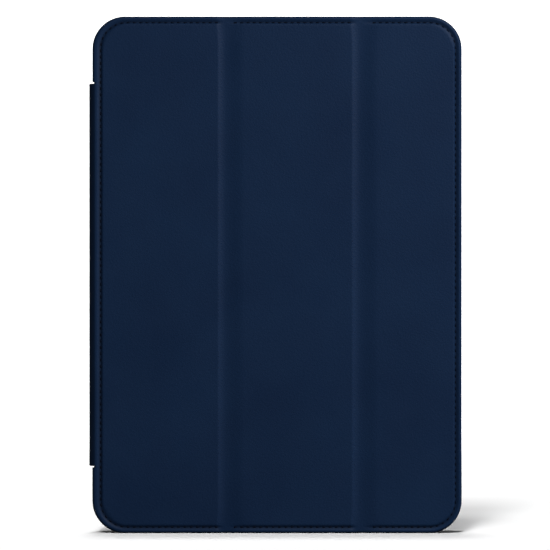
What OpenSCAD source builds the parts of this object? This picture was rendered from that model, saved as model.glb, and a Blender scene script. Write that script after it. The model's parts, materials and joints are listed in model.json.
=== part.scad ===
// Tablet keyboard case: a leatherette tri-fold cover, a spine, a back cover with a
// moulded tablet tray, and a slim wireless keyboard that is stowed inside the cover.
// Millimetres. X to the right, Y to the back, Z up. The closed case stands on its
// short edge, cover to the front (-Y). The origin is the centre of its footprint.

/* [Tablet] */
// Width of the tablet that the tray holds
tablet_w = 178.5; // [176:0.1:178.5]
// Height of the tablet
tablet_h = 247.6; // [240:0.1:248]
// Thickness of the tablet
tablet_t = 6.1; // [5.5:0.1:6.1]
// Corner radius of the tray's bay
bay_r = 15.3; // [12:0.1:16]

/* [Covers] */
// Width of the front and back covers, without the spine
cover_w = 181.6; // [181:0.1:184]
// Height of the covers
cover_h = 254; // [253:0.5:258]
// Corner radius of the covers
cover_r = 16; // [12:0.5:18]
// Depth of the whole closed case from front to back
case_t = 19; // [19:0.1:22]
// Thickness of the outer leatherette
skin_t = 0.8; // [0.6:0.1:0.9]
// Thickness of the stiffener boards
board_t = 1.2; // [1:0.1:1.3]
// Thickness of the microfibre lining of the cover
lining_t = 0.5; // [0.3:0.1:0.5]
// Distance from a cover's edge to its stitching
stitch_in = 3.1; // [2.5:0.1:4]
// Width of the sewing thread
thread_w = 0.5; // [0.3:0.1:0.7]

/* [Folds] */
// Distance from the cover's left edge to the crease by the middle panel
crease_1_at = 65.5; // [64:0.1:67]
// Distance from the cover's left edge to the crease by the outer panel
crease_2_at = 131.4; // [130:0.1:133]
// Half the width of a crease between two boards
crease_half = 3.6; // [3:0.1:5]
// How far the spine stands out past the covers
spine_out = 1.6; // [1.5:0.1:1.8]
// Distance from each end of the case to the spine
spine_end = 33; // [30:1:40]
// Radius of the spine's rounded edges
spine_r = 2.8; // [2:0.1:3]

/* [Keyboard] */
// Width of the keyboard, along the tablet's long side
board_w = 244; // [242:1:246]
// Depth of the keyboard
board_d = 106; // [105:1:107]
// Distance between the middles of two letter keys
key_pitch = 16.4; // [16:0.1:16.5]
// Gap between two keys
key_gap = 2.2; // [2:0.1:3]
// Corner radius of a key
key_r = 1.6; // [1:0.1:2.5]
// How far a key goes down
key_travel = 1.0; // [0.6:0.1:1]

/* [Hidden] */
$fn = 64;
eps = 0.5;   // how far a cutter runs past the face that it cuts

// Case, left to right. The covers are left of centre by half of what the spine stands out.
cover_x0 = spine_out / 2 - cover_w / 2;
cover_x1 = cover_x0 + cover_w;
spine_x0 = cover_x0 - spine_out;
crease_1 = cover_x0 + crease_1_at;
crease_2 = cover_x0 + crease_2_at;
mid_z = cover_h / 2;
hinge_x = cover_x0 + spine_out;     // where the covers end and the spine's folds begin
spine_z0 = spine_end;
spine_z1 = cover_h - spine_end;
notch = 0.7;                        // the snip at each end of the spine
stitch_left_in = 4.2;               // the stitching stands further in beside the spine
board_gap = 0.5;                    // from the stitching's middle to the boards

// Case, front to back.
front_y = -case_t / 2;
back_y = case_t / 2;
cover_t = skin_t + board_t + lining_t;
thread_d = 0.4;                     // depth of the groove that the thread lies in
thread_sunk = 0.05;
lining_in = 1.2;                    // from a cover's edge to its lining
crease_sunk = 0.4;                  // how far a crease lies below the face
tray_back = back_y - skin_t - board_t;
tray_floor_t = 0.9;
tray_lining_t = 0.4;
tray_lining_in = 1.0;               // from the bay's walls and the window to the lining
bay_floor = tray_back - tray_floor_t;
seat_y = bay_floor - tray_lining_t;
screen_gap = 0.1;                   // between the screen and the lips
lip_y = seat_y - tablet_t - screen_gap;
lip_t = 0.7;
lip_over = 0.9;

// Tray, inside the back cover's outline. Its right wall is just inside the cover's edge.
tablet_play = 0.2;
bay_w = tablet_w + tablet_play;
bay_h = tablet_h + tablet_play;
side_wall = 1.1;
end_wall = 1.4;
tray_in = 0.6;
tray_x1 = cover_x1 - tray_in;
bay_x1 = tray_x1 - side_wall;
bay_x0 = bay_x1 - bay_w;
bay_mid_x = (bay_x0 + bay_x1) / 2;
tray_x0 = bay_x0 - side_wall;

// Camera window, at the top on the side away from the spine.
window_in = 22.6;
window_down = 20.5;
window_x = cover_x1 - window_in;
window_z = cover_h - window_down;
window_w = 30;
window_r = 8;
collar = 1.2;

// Buttons in the tray's walls.
button_gap = 0.15;
button_proud = 0.4;
button_y = (seat_y + lip_y) / 2;
button_t = 2.4;
button_deep = 0.2;                  // how far outside the bay a button begins
power_x = window_x - 7;
power_len = 12;
volume_len = 10;
volume_pitch = 13;
volume_up_z = window_z - 2 * volume_pitch;
volume_down_z = volume_up_z - volume_pitch;

// Keyboard frame of reference: u to the typist's right, v away from the typist, w up from
// the underside. Stowed, its keys face the tablet and its front edge the cover's free edge.
deck_in = 4.6;
feet_t = 0.3;
feet_gap = 0.2;
deck_x = cover_x1 - deck_in - board_d / 2;
deck_y = front_y + cover_t + feet_gap + feet_t;
base_floor = 1.0;
base_wall = 1.2;
plate_ledge = 1;                    // the step in the wall that the key plate lies on
base_r = 6;
frame_w0 = 3.6;
frame_w1 = 4.5;
plate_w0 = 2.5;
plate_w1 = 2.8;
sheet_w1 = 3.0;
cap_t = 1.4;
cap_w0 = sheet_w1 + key_travel + 0.1;
cap_w1 = cap_w0 + cap_t;
key_size = key_pitch - key_gap;
key_clear = 0.3;
row_units = 14.5;
palm_edge = 5;                      // from the deck's near edge to the keys
bottom_row_v = -board_d / 2 + palm_edge + key_pitch / 2;
number_row_v = bottom_row_v + 4 * key_pitch;
function_pitch = 10;
function_row_v = number_row_v + key_pitch / 2 + function_pitch / 2;
rear_strip = 4.5;
rear_v = function_row_v + function_pitch / 2 + rear_strip;
rear_edge = board_d / 2;

// ---------- outlines, in X and Z ----------

// A rectangle from (x0, z0) to (x1, z1) with corners of radius r.
module rounded(x0, z0, x1, z1, r) {
    translate([x0 + r, z0]) square([x1 - x0 - 2 * r, z1 - z0]);
    translate([x0, z0 + r]) square([x1 - x0, z1 - z0 - 2 * r]);
    for (x = [x0 + r, x1 - r], z = [z0 + r, z1 - r])
        translate([x, z]) circle(r);
}

// The covers' outline, taken in by a distance, with the left side taken in further.
module cover_outline(inset = 0, left = 0)
    rounded(cover_x0 + max(inset, left), inset, cover_x1 - inset, cover_h - inset, cover_r - inset);

// The stretch of the left edge that the spine takes up, with a snip at each end.
module spine_relief()
    translate([cover_x0 - eps, spine_z0 - notch])
        square([hinge_x - cover_x0 + eps, spine_z1 - spine_z0 + 2 * notch]);

// An outline between two upright lines, as one panel of the cover takes it.
module between(xa, xb)
    intersection() {
        children();
        translate([xa, -eps]) square([xb - xa, cover_h + 2 * eps]);
    }

module panel_outline(xa, xb)
    difference() {
        between(xa, xb) cover_outline();
        spine_relief();
    }

module board_outline(xa, xb)
    between(xa, xb) cover_outline(stitch_in + board_gap, stitch_left_in + board_gap);

module stitch_outline(xa, xb)
    between(xa, xb) difference() {
        cover_outline(stitch_in - thread_w / 2, stitch_left_in - thread_w / 2);
        cover_outline(stitch_in + thread_w / 2, stitch_left_in + thread_w / 2);
    }

// An upright outline made solid from y0 back to y1.
module slab(y0, y1) translate([0, y1, 0]) rotate([90, 0, 0]) linear_extrude(y1 - y0) children();

// ---------- covers ----------

// Leatherette over one panel: a sheet with its edge turned over the rim of the board.
module cover_skin(xa, xb)
    difference() {
        slab(front_y, front_y + skin_t + board_t) panel_outline(xa, xb);
        slab(front_y + skin_t, front_y + skin_t + board_t + eps) board_outline(xa - eps, xb + eps);
        slab(front_y - eps, front_y + thread_d) stitch_outline(xa - eps, xb + eps);
    }

module cover_board(xa, xb)
    slab(front_y + skin_t, front_y + skin_t + board_t) board_outline(xa, xb);

module cover_thread(xa, xb)
    slab(front_y + thread_sunk, front_y + thread_d) stitch_outline(xa, xb);

module cover_lining(xa, xb)
    slab(front_y + skin_t + board_t, front_y + cover_t)
        difference() {
            between(xa, xb) cover_outline(lining_in, spine_out);
            spine_relief();
        }

// A row of flat blocks as thick as a board, such as magnets let into it.
module blocks_in_board(x, zs, w, h)
    for (z = zs)
        slab(front_y + skin_t, front_y + skin_t + board_t)
            translate([x - w / 2, z - h / 2]) square([w, h]);

magnet_w = 6;
magnet_h = 20;
hinge_magnet_x = cover_x0 + 16;
inner_magnet_z = [for (s = [-80, -30, 30, 80]) mid_z + s];
edge_magnet_x = cover_x1 - 9;
outer_magnet_z = [for (s = [-95, -57, -19, 19, 57, 95]) mid_z + s];
dock_left = 4;                      // from the middle panel's middle
dock_x = (crease_1 + crease_2) / 2 - dock_left;
dock_z = [for (s = [-72, 72]) mid_z + s];
dock_w = 14;
dock_h = 90;

panel_a = [cover_x0, crease_1 - crease_half];
panel_b = [crease_1 + crease_half, crease_2 - crease_half];
panel_c = [crease_2 + crease_half, cover_x1];

module inner_panel_skin() color("#14263f") cover_skin(panel_a[0], panel_a[1]);

module inner_panel_board()
    color("#8c8a84") difference() {
        cover_board(panel_a[0], panel_a[1]);
        inner_magnets_solid();
    }

module inner_magnets_solid() blocks_in_board(hinge_magnet_x, inner_magnet_z, magnet_w, magnet_h);
module inner_panel_magnets() color("silver") inner_magnets_solid();
module inner_panel_lining() color("#2a3546") cover_lining(panel_a[0], panel_a[1]);
module inner_panel_stitching() color("#0b1a30") cover_thread(panel_a[0], panel_a[1]);

module middle_panel_skin() color("#14263f") cover_skin(panel_b[0], panel_b[1]);

module middle_panel_board()
    color("#8c8a84") difference() {
        cover_board(panel_b[0], panel_b[1]);
        dock_plates_solid();
    }

module dock_plates_solid() blocks_in_board(dock_x, dock_z, dock_w, dock_h);
module dock_plates() color("silver") dock_plates_solid();
module middle_panel_lining() color("#2a3546") cover_lining(panel_b[0], panel_b[1]);
module middle_panel_stitching() color("#0b1a30") cover_thread(panel_b[0], panel_b[1]);

module outer_panel_skin() color("#14263f") cover_skin(panel_c[0], panel_c[1]);

module outer_panel_board()
    color("#8c8a84") difference() {
        cover_board(panel_c[0], panel_c[1]);
        outer_magnets_solid();
    }

module outer_magnets_solid() blocks_in_board(edge_magnet_x, outer_magnet_z, magnet_w, magnet_h);
module outer_panel_magnets() color("silver") outer_magnets_solid();
module outer_panel_lining() color("#2a3546") cover_lining(panel_c[0], panel_c[1]);
module outer_panel_stitching() color("#0b1a30") cover_thread(panel_c[0], panel_c[1]);

// Skin and lining glued to each other between two boards, a little below the face.
module crease(x)
    color("#14263f")
        slab(front_y + crease_sunk, front_y + crease_sunk + skin_t + lining_t)
            between(x - crease_half, x + crease_half) cover_outline();

module inner_crease() crease(crease_1);
module outer_crease() crease(crease_2);

// ---------- back cover and tray ----------

module window(grow = 0)
    rounded(window_x - window_w / 2 - grow, window_z - window_w / 2 - grow,
            window_x + window_w / 2 + grow, window_z + window_w / 2 + grow, window_r + grow);

back_magnet_z = [for (s = [-80, -30, 30]) mid_z + s];

module back_magnets_solid()
    mirror([0, 1, 0])
        for (x = [hinge_magnet_x, edge_magnet_x]) blocks_in_board(x, back_magnet_z, magnet_w, magnet_h);

module back_skin()
    color("#14263f") difference() {
        mirror([0, 1, 0]) cover_skin(cover_x0, cover_x1);
        slab(tray_back - eps, back_y + eps) window(collar);
    }

module back_board()
    color("#8c8a84") difference() {
        mirror([0, 1, 0]) cover_board(cover_x0, cover_x1);
        slab(tray_back - eps, back_y + eps) window(collar);
        back_magnets_solid();
    }

module back_magnets() color("silver") back_magnets_solid();
module back_stitching() color("#0b1a30") mirror([0, 1, 0]) cover_thread(cover_x0, cover_x1);

module bay_outline(inset)
    rounded(bay_x0 + inset, mid_z - bay_h / 2 + inset, bay_x1 - inset, mid_z + bay_h / 2 - inset,
            bay_r - inset);

module tray_outline()
    rounded(tray_x0, mid_z - bay_h / 2 - end_wall, tray_x1, mid_z + bay_h / 2 + end_wall,
            bay_r + side_wall);

// A slot through an end wall, about x, and one through the right wall, about z.
slot_reach = 4;
module end_slot(x, z, len, t)
    translate([x - len / 2, button_y - t / 2, z - slot_reach]) cube([len, t, 2 * slot_reach]);
module side_slot(z, len, t)
    translate([bay_x1 - slot_reach, button_y - t / 2, z - len / 2]) cube([2 * slot_reach, t, len]);

// Moulded tray: a floor, walls with lips that hold the tablet, and a collar round the
// camera. Its left side is open between the corners, where the spine is.
port_len = 14;
port_t = 4.8;
speaker_len = 24;
speaker_t = 2.2;
speaker_x = 45;
spine_play = 1.5;                    // room for the spine at each end of the tray's open side
open_in = 6;                         // how far the cut for it starts outside the bay
open_len = spine_z1 - spine_z0 + 2 * spine_play;

module tablet_tray()
    color("#16243a") difference() {
        union() {
            slab(lip_y - lip_t, tray_back) tray_outline();
            slab(tray_back - eps, back_y) window(collar);
        }
        slab(lip_y, bay_floor) bay_outline(0);
        slab(lip_y - lip_t - eps, lip_y + eps) bay_outline(lip_over);
        slab(bay_floor - eps, back_y + eps) window();
        translate([bay_x0 - open_in, lip_y - lip_t - eps, spine_z0 - spine_play])
            cube([open_in + lip_over + 0.1, bay_floor - lip_y + lip_t + eps, open_len]);
        translate([tray_x0 - eps, bay_floor - eps, spine_z0 - spine_play])
            cube([hinge_x - tray_x0 + eps, tray_floor_t + 2 * eps, open_len]);
        end_slot(power_x, mid_z + bay_h / 2, power_len + 2 * button_gap, button_t + 2 * button_gap);
        for (z = [volume_up_z, volume_down_z])
            side_slot(z, volume_len + 2 * button_gap, button_t + 2 * button_gap);
        end_slot(bay_mid_x, mid_z - bay_h / 2, port_len, port_t);
        for (x = [-speaker_x, speaker_x])
            end_slot(bay_mid_x + x, mid_z - bay_h / 2, speaker_len, speaker_t);
        end_slot(bay_mid_x - speaker_x, mid_z + bay_h / 2, speaker_len, speaker_t);
        end_slot(bay_mid_x, mid_z + bay_h / 2, speaker_len, speaker_t);
    }

module tray_lining()
    color("#2a3546") slab(seat_y, bay_floor) difference() {
        bay_outline(tray_lining_in);
        window(tray_lining_in);
    }

module power_button()
    color("#16243a")
        translate([power_x - power_len / 2, button_y - button_t / 2, mid_z + bay_h / 2 + button_deep])
            cube([power_len, button_t, end_wall - button_deep + button_proud]);

module volume_button(z)
    color("#16243a")
        translate([bay_x1 + button_deep, button_y - button_t / 2, z - volume_len / 2])
            cube([side_wall - button_deep + button_proud, button_t, volume_len]);

module volume_up_button() volume_button(volume_up_z);
module volume_down_button() volume_button(volume_down_z);

// ---------- spine ----------

spine_flat = case_t / 2 - spine_r;   // half the depth of the spine's flat part
spine_board_t = 0.9;
spine_board_in = 1;                  // from the spine's ends to its board
spine_board_gap = 0.4;               // from the folds to its board

module upright(z0, z1) translate([0, 0, z0]) linear_extrude(z1 - z0) children();

module spine_skin()
    color("#14263f") upright(spine_z0, spine_z1)
        translate([spine_x0, -spine_flat]) square([skin_t, 2 * spine_flat]);

module spine_board()
    color("#8c8a84") upright(spine_z0 + spine_board_in, spine_z1 - spine_board_in)
        translate([spine_x0 + skin_t, -spine_flat + spine_board_gap])
            square([spine_board_t, 2 * (spine_flat - spine_board_gap)]);

module spine_lining()
    color("#2a3546") upright(spine_z0, spine_z1)
        translate([spine_x0 + skin_t + spine_board_t, -spine_flat])
            square([lining_t, 2 * spine_flat]);

// The rounded fold from the spine's side to a cover's edge.
module spine_fold_outline() {
    intersection() {
        translate([spine_x0 + spine_r, -spine_flat]) difference() {
            circle(spine_r);
            circle(spine_r - skin_t);
        }
        translate([spine_x0, front_y]) square(spine_r);
    }
    translate([spine_x0 + spine_r, front_y])
        square([hinge_x - spine_x0 - spine_r, skin_t]);
}

module spine_front_crease() color("#14263f") upright(spine_z0, spine_z1) spine_fold_outline();
module spine_back_crease() mirror([0, 1, 0]) spine_front_crease();

// ---------- keyboard ----------

// Places a shape drawn in the keyboard's u, v, w where the keyboard is stowed.
module stowed()
    multmatrix([[0, -1, 0, deck_x], [0, 0, 1, deck_y], [-1, 0, 0, mid_z], [0, 0, 0, 1]]) children();

// A rectangle about the middle with corners of radius r, as a polygon of short sides.
function round_box(w, d, r, n = 4) = [
    for (q = [0:3], i = [0:n])
        let (a = 90 * (q + i / n), sx = (q == 0 || q == 3) ? 1 : -1, sy = q < 2 ? 1 : -1)
            [sx * (w / 2 - r) + r * cos(a), sy * (d / 2 - r) + r * sin(a)]];

module deck_outline(inset = 0)
    rounded(-board_w / 2 + inset, -board_d / 2 + inset, board_w / 2 - inset, board_d / 2 - inset,
            base_r - inset);

// A block with its middle at (u, v), from w0 to w1.
module block(u, v, du, dv, w0, w1)
    translate([u - du / 2, v - dv / 2, w0]) cube([du, dv, w1 - w0]);

// One key as [u, v, width, depth], from where it starts in its row, in key widths.
function key_at(start, units, row) = [
    (start + units / 2 - row_units / 2) * key_pitch, bottom_row_v + row * key_pitch,
    units * key_pitch - key_gap, key_size];
function keys_from(start, count, row) = [for (i = [0:count - 1]) key_at(start + i, 1, row)];

function_count = 14;
function_w = row_units * key_pitch / function_count;
function_keys = [for (i = [0:function_count - 1])
    [(i + 0.5 - function_count / 2) * function_w, function_row_v,
     function_w - key_gap, function_pitch - key_gap]];
number_keys = keys_from(0, 13, 4);
backspace_key = [key_at(13, 1.5, 4)];
tab_key = [key_at(0, 1.5, 3)];
upper_keys = keys_from(1.5, 13, 3);
caps_key = [key_at(0, 1.75, 2)];
home_keys = keys_from(1.75, 11, 2);
enter_key = [key_at(12.75, 1.75, 2)];
left_shift_key = [key_at(0, 2.25, 1)];
lower_keys = keys_from(2.25, 10, 1);
right_shift_key = [key_at(12.25, 2.25, 1)];
left_modifier_keys = [key_at(0, 1, 0), key_at(1, 1, 0), key_at(2, 1, 0), key_at(3, 1.25, 0)];
space_key = [key_at(4.25, 5, 0)];
right_modifier_keys = [key_at(9.25, 1.25, 0), key_at(10.5, 1, 0)];
arrow_gap = 0.8;
half_key = (key_size - arrow_gap) / 2;
up_down_u = key_at(12.5, 1, 0)[0];
arrow_keys = [
    key_at(11.5, 1, 0), key_at(13.5, 1, 0),
    [up_down_u, bottom_row_v + key_size / 2 - half_key / 2, key_size, half_key],
    [up_down_u, bottom_row_v - key_size / 2 + half_key / 2, key_size, half_key]];
all_keys = concat(function_keys, number_keys, backspace_key, tab_key, upper_keys, caps_key,
                  home_keys, enter_key, left_shift_key, lower_keys, right_shift_key,
                  left_modifier_keys, space_key, right_modifier_keys, arrow_keys);
// The up and down keys share one hole in the frame.
frame_holes = concat([for (k = all_keys) if (k[3] != half_key) k], [key_at(12.5, 1, 0)]);

module keycaps(keys)
    color("#1b1d22") stowed()
        for (k = keys)
            translate([k[0], k[1], cap_w0]) linear_extrude(cap_w1 - cap_w0)
                polygon(round_box(k[2], k[3], key_r));

module keys_function_row() keycaps(function_keys);
module keys_number_row() keycaps(number_keys);
module key_backspace() keycaps(backspace_key);
module key_tab() keycaps(tab_key);
module keys_upper_row() keycaps(upper_keys);
module key_caps_lock() keycaps(caps_key);
module keys_home_row() keycaps(home_keys);
module key_enter() keycaps(enter_key);
module key_left_shift() keycaps(left_shift_key);
module keys_lower_row() keycaps(lower_keys);
module key_right_shift() keycaps(right_shift_key);
module keys_left_modifiers() keycaps(left_modifier_keys);
module key_space_bar() keycaps(space_key);
module keys_right_modifiers() keycaps(right_modifier_keys);
module keys_arrows() keycaps(arrow_keys);

// The charging socket, the switch and the lights stand in the strip behind the keys.
port_u = -95;
port_w = 8.9;
port_d = 7;
port_w0 = 0.7;
port_w1 = 3.7;
port_shell = 0.3;
tongue_t = 0.7;
tongue_side = 1.1;                   // from the sleeve's sides to its tongue
tongue_short = 1.6;                  // how much shorter the tongue is than the sleeve
tongue_back = 0.6;
switch_u = -60;
switch_len = 4;
switch_travel = 3;
switch_w0 = 1.6;
switch_w1 = 2.8;
switch_play = 0.15;
switch_in = 1.4;                     // from the rear face to the switch's middle
switch_d = 4.4;
pair_u = 80;
pair_r = 2;
pair_play = 0.15;
pair_deep = 0.6;                     // how far the button reaches below the frame
pair_proud = 0.4;
light_u = [95, 99, 103];
light_r = 0.6;
frame_cut = frame_w1 - frame_w0 + 2 * eps;

module keyboard_base()
    color("#23262c") stowed() difference() {
        linear_extrude(frame_w0) deck_outline();
        translate([0, 0, plate_w0]) linear_extrude(frame_w0) deck_outline(base_wall);
        translate([0, 0, base_floor]) linear_extrude(frame_w0) deck_outline(base_wall + plate_ledge);
        block(port_u, rear_edge - port_d / 2 + eps / 2, port_w, port_d + eps, port_w0, frame_w0 + eps);
        block(switch_u + switch_travel / 2, rear_edge, switch_len + switch_travel + 0.4,
              2 * (base_wall + 1.8), switch_w0 - switch_play, switch_w1 + switch_play);
    }

module keyboard_frame()
    color("#2b2e35") stowed() difference() {
        translate([0, 0, frame_w0]) linear_extrude(frame_w1 - frame_w0) difference() {
            deck_outline();
            for (k = frame_holes)
                translate([k[0], k[1]])
                    polygon(round_box(k[2] + 2 * key_clear, k[3] + 2 * key_clear, key_r + key_clear));
        }
        block(port_u, rear_edge - port_d / 2 + eps / 2, port_w, port_d + eps, frame_w0 - eps, port_w1);
        translate([pair_u, rear_v, frame_w0 - eps]) cylinder(h = frame_cut, r = pair_r + pair_play);
        for (u = light_u)
            translate([u, rear_v, frame_w0 - eps]) cylinder(h = frame_cut, r = light_r);
    }

plate_side = 4;                      // from the base's walls to the key plate
plate_v0 = -board_d / 2 + base_wall + 0.1;
plate_v1 = function_row_v + function_pitch / 2 + 0.3;

module plate_shape(w0, w1, inset)
    block(0, (plate_v0 + plate_v1) / 2, board_w - 2 * (base_wall + plate_side + inset),
          plate_v1 - plate_v0 - 2 * inset, w0, w1);

module key_plate() color("silver") stowed() plate_shape(plate_w0, plate_w1, 0);
module membrane_sheet() color("#c9c4b0") stowed() plate_shape(plate_w1, sheet_w1, 1);

// One rubber dome under the middle of each key.
dome_r0 = 2.2;
dome_r1 = 1.2;

module rubber_domes()
    color("#d9dadb") stowed()
        for (k = all_keys)
            translate([k[0], k[1], sheet_w1]) cylinder(h = cap_w0 - sheet_w1, r1 = dome_r0, r2 = dome_r1);

// A pair of side links under each key, which keep it level.
link_t = 0.8;
link_u = 4.2;                        // from a key's middle to its links
link_short = 3.2;                    // how much shorter a link is than its key

module scissor_supports()
    color("#f0f0ee") stowed()
        for (k = all_keys, s = [-1, 1])
            block(k[0] + s * link_u, k[1], link_t, min(k[3], key_size) - link_short, sheet_w1, cap_w0);

battery_u = -35;
battery_v = -12;
battery_w = 104;
battery_d = 58;
battery_t = 1.4;

module battery_cell()
    color("#8f9399") stowed()
        block(battery_u, battery_v, battery_w, battery_d, base_floor, base_floor + battery_t);

// A laminate beside the charging socket, with a row of chips on it.
laminate_w = 22;
laminate_d = 4.4;
laminate_t = 0.8;
chip_w = 4;
chip_d = 3;
chip_t = 0.9;

module circuit_board()
    color("#1d5b3a") stowed() {
        left = port_u + port_w / 2;
        top = base_floor + laminate_t;
        block(left + laminate_w / 2, rear_v, laminate_w, laminate_d, base_floor, top);
        for (u = [5, 12, 18])
            block(left + u, rear_v, chip_w, chip_d, top, top + chip_t);
    }

// A metal sleeve, open to the rear, with a contact tongue in it.
module charge_port()
    color("silver") stowed() {
        difference() {
            block(port_u, rear_edge - port_d / 2, port_w, port_d, port_w0, port_w1);
            block(port_u, rear_edge - port_d / 2 + port_shell + eps / 2, port_w - 2 * port_shell,
                  port_d - port_shell + eps, port_w0 + port_shell, port_w1 - port_shell);
        }
        block(port_u, rear_edge - port_d / 2 - tongue_back, port_w - 2 * tongue_side, port_d - tongue_short,
              (port_w0 + port_w1 - tongue_t) / 2, (port_w0 + port_w1 + tongue_t) / 2);
    }

// Flat magnets in the keyboard, behind the middle panel's dock plates.
dock_magnet_w = 26;
dock_magnet_d = 10;
dock_magnet_t = 1.2;

module keyboard_magnets()
    color("silver") stowed()
        for (u = [-90, -54, 54, 90])
            block(u, deck_x - dock_x, dock_magnet_w, dock_magnet_d, base_floor, base_floor + dock_magnet_t);

foot_u = 98;
foot_v = board_d / 2 - 9;
foot_w = 30;
foot_d = 5;

module rubber_feet()
    color("#1a1a1c") stowed()
        for (u = [-foot_u, foot_u], v = [-foot_v, foot_v])
            block(u, v, foot_w, foot_d, -feet_t, 0);

module status_lights()
    color("#dfe8ee") stowed()
        for (u = light_u)
            translate([u, rear_v, frame_w0]) cylinder(h = frame_w1 - frame_w0, r = light_r);

module power_switch()
    color("#3a3d44") stowed()
        block(switch_u, rear_edge - switch_in, switch_len, switch_d, switch_w0, switch_w1);

module pair_button()
    color("#3a3d44") stowed()
        translate([pair_u, rear_v, frame_w0 - pair_deep])
            cylinder(h = pair_deep + frame_w1 - frame_w0 + pair_proud, r = pair_r);

// ---------- nodes ----------

back_skin();
back_board();
back_stitching();
back_magnets();
tablet_tray();
tray_lining();
power_button();
volume_up_button();
volume_down_button();
spine_skin();
spine_board();
spine_lining();
spine_back_crease();
spine_front_crease();
inner_panel_skin();
inner_panel_board();
inner_panel_lining();
inner_panel_stitching();
inner_panel_magnets();
inner_crease();
middle_panel_skin();
middle_panel_board();
middle_panel_lining();
middle_panel_stitching();
dock_plates();
outer_crease();
outer_panel_skin();
outer_panel_board();
outer_panel_lining();
outer_panel_stitching();
outer_panel_magnets();
keyboard_base();
keyboard_frame();
key_plate();
membrane_sheet();
rubber_domes();
scissor_supports();
battery_cell();
circuit_board();
charge_port();
keyboard_magnets();
rubber_feet();
status_lights();
power_switch();
pair_button();
keys_function_row();
keys_number_row();
key_backspace();
key_tab();
keys_upper_row();
key_caps_lock();
keys_home_row();
key_enter();
key_left_shift();
keys_lower_row();
key_right_shift();
keys_left_modifiers();
key_space_bar();
keys_right_modifiers();
keys_arrows();
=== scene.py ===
"""The look of the tablet keyboard case: leatherette, thread, microfibre, moulded plastic and keys."""
import json
import math

import bmesh
import bpy
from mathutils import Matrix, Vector


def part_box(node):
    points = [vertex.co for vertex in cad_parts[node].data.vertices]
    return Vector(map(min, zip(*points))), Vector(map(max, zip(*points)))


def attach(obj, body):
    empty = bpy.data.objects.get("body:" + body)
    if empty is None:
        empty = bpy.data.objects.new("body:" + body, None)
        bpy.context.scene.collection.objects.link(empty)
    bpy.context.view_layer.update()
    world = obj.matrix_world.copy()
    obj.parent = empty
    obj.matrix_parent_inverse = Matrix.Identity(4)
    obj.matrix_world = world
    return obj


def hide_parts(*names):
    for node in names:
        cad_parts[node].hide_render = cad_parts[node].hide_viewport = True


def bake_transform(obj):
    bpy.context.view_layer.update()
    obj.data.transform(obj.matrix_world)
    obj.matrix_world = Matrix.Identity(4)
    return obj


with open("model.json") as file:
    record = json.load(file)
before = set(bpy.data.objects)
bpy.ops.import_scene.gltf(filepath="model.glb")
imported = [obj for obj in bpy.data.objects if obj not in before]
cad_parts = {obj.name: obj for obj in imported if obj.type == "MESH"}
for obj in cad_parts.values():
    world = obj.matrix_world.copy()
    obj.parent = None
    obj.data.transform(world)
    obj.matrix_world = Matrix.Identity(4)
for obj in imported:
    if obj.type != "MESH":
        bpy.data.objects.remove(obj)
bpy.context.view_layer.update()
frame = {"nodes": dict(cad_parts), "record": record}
NODES = frame["nodes"]
MM = 0.001


# ---------- places, from the frame ----------

def low(node):
    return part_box(node)[0]


def high(node):
    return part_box(node)[1]


EDGE = (low("back_skin")[0], low("back_skin")[2], high("back_skin")[0], high("back_skin")[2])
CORNER_R = 16 * MM
THREAD_W = 0.5 * MM
SEAM = (low("back_stitching")[0] + THREAD_W / 2, low("back_stitching")[2] + THREAD_W / 2,
        high("back_stitching")[0] - THREAD_W / 2, high("back_stitching")[2] - THREAD_W / 2)
SEAM_R = CORNER_R - (SEAM[1] - EDGE[1])
FRONT_Y = low("inner_panel_skin")[1]
BACK_Y = high("back_skin")[1]
PANEL_T = high("inner_panel_lining")[1] - FRONT_Y
RIM_T = high("inner_panel_skin")[1] - FRONT_Y
SKIN_T = 0.8 * MM
LINING_T = PANEL_T - RIM_T
CREASES = [(low(n)[0] + high(n)[0]) / 2 for n in ("inner_crease", "outer_crease")]
CREASE_HALF = (high("inner_crease")[0] - low("inner_crease")[0]) / 2
MIDDLE_X = sum(CREASES) / 2
SPINE_X = low("spine_skin")[0]
SPINE_Z = (low("spine_skin")[2], high("spine_skin")[2])
SPINE_FLAT = high("spine_skin")[1]
FOLD_X = high("spine_front_crease")[0]
RELIEF = (SPINE_Z[0] - 0.7 * MM, SPINE_Z[1] + 0.7 * MM)


# ---------- camera, lights and floor ----------

def add_camera(distance=1.7, width=0.2702, height=0.1269):
    """A long lens square to the cover, whose frame is so wide and so high at the cover's face."""
    data = bpy.data.cameras.new("camera")
    data.sensor_width = 36
    data.lens = data.sensor_width * distance / width
    data.clip_end = 20
    camera = bpy.data.objects.new("camera", data)
    camera.location = (-0.0002, FRONT_Y - distance, height)
    camera.rotation_euler = (math.radians(90), 0, 0)
    bpy.context.scene.collection.objects.link(camera)
    bpy.context.scene.camera = camera


def add_area(name, place, target, size, power):
    data = bpy.data.lights.new(name, "AREA")
    data.shape = "RECTANGLE"
    data.size, data.size_y = size
    data.energy = power
    light = bpy.data.objects.new(name, data)
    light.location = place
    aim = Vector(target) - Vector(place)
    light.rotation_euler = aim.to_track_quat("-Z", "Y").to_euler()
    bpy.context.scene.collection.objects.link(light)
    return light


def add_sun(name, direction, power, softness):
    data = bpy.data.lights.new(name, "SUN")
    data.energy = power
    data.angle = math.radians(softness)
    light = bpy.data.objects.new(name, data)
    light.rotation_euler = Vector(direction).to_track_quat("-Z", "Y").to_euler()
    bpy.context.scene.collection.objects.link(light)
    return light


def aim_lights(lights, floor, state):
    """Lights that reach only the floor, for INCLUDE, or all but the floor, for EXCLUDE."""
    for light in lights:
        reach = bpy.data.collections.new(f"{light.name}_reach")
        reach.objects.link(floor)
        reach.collection_objects[0].light_linking.link_state = state
        light.light_linking.receiver_collection = reach


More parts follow.
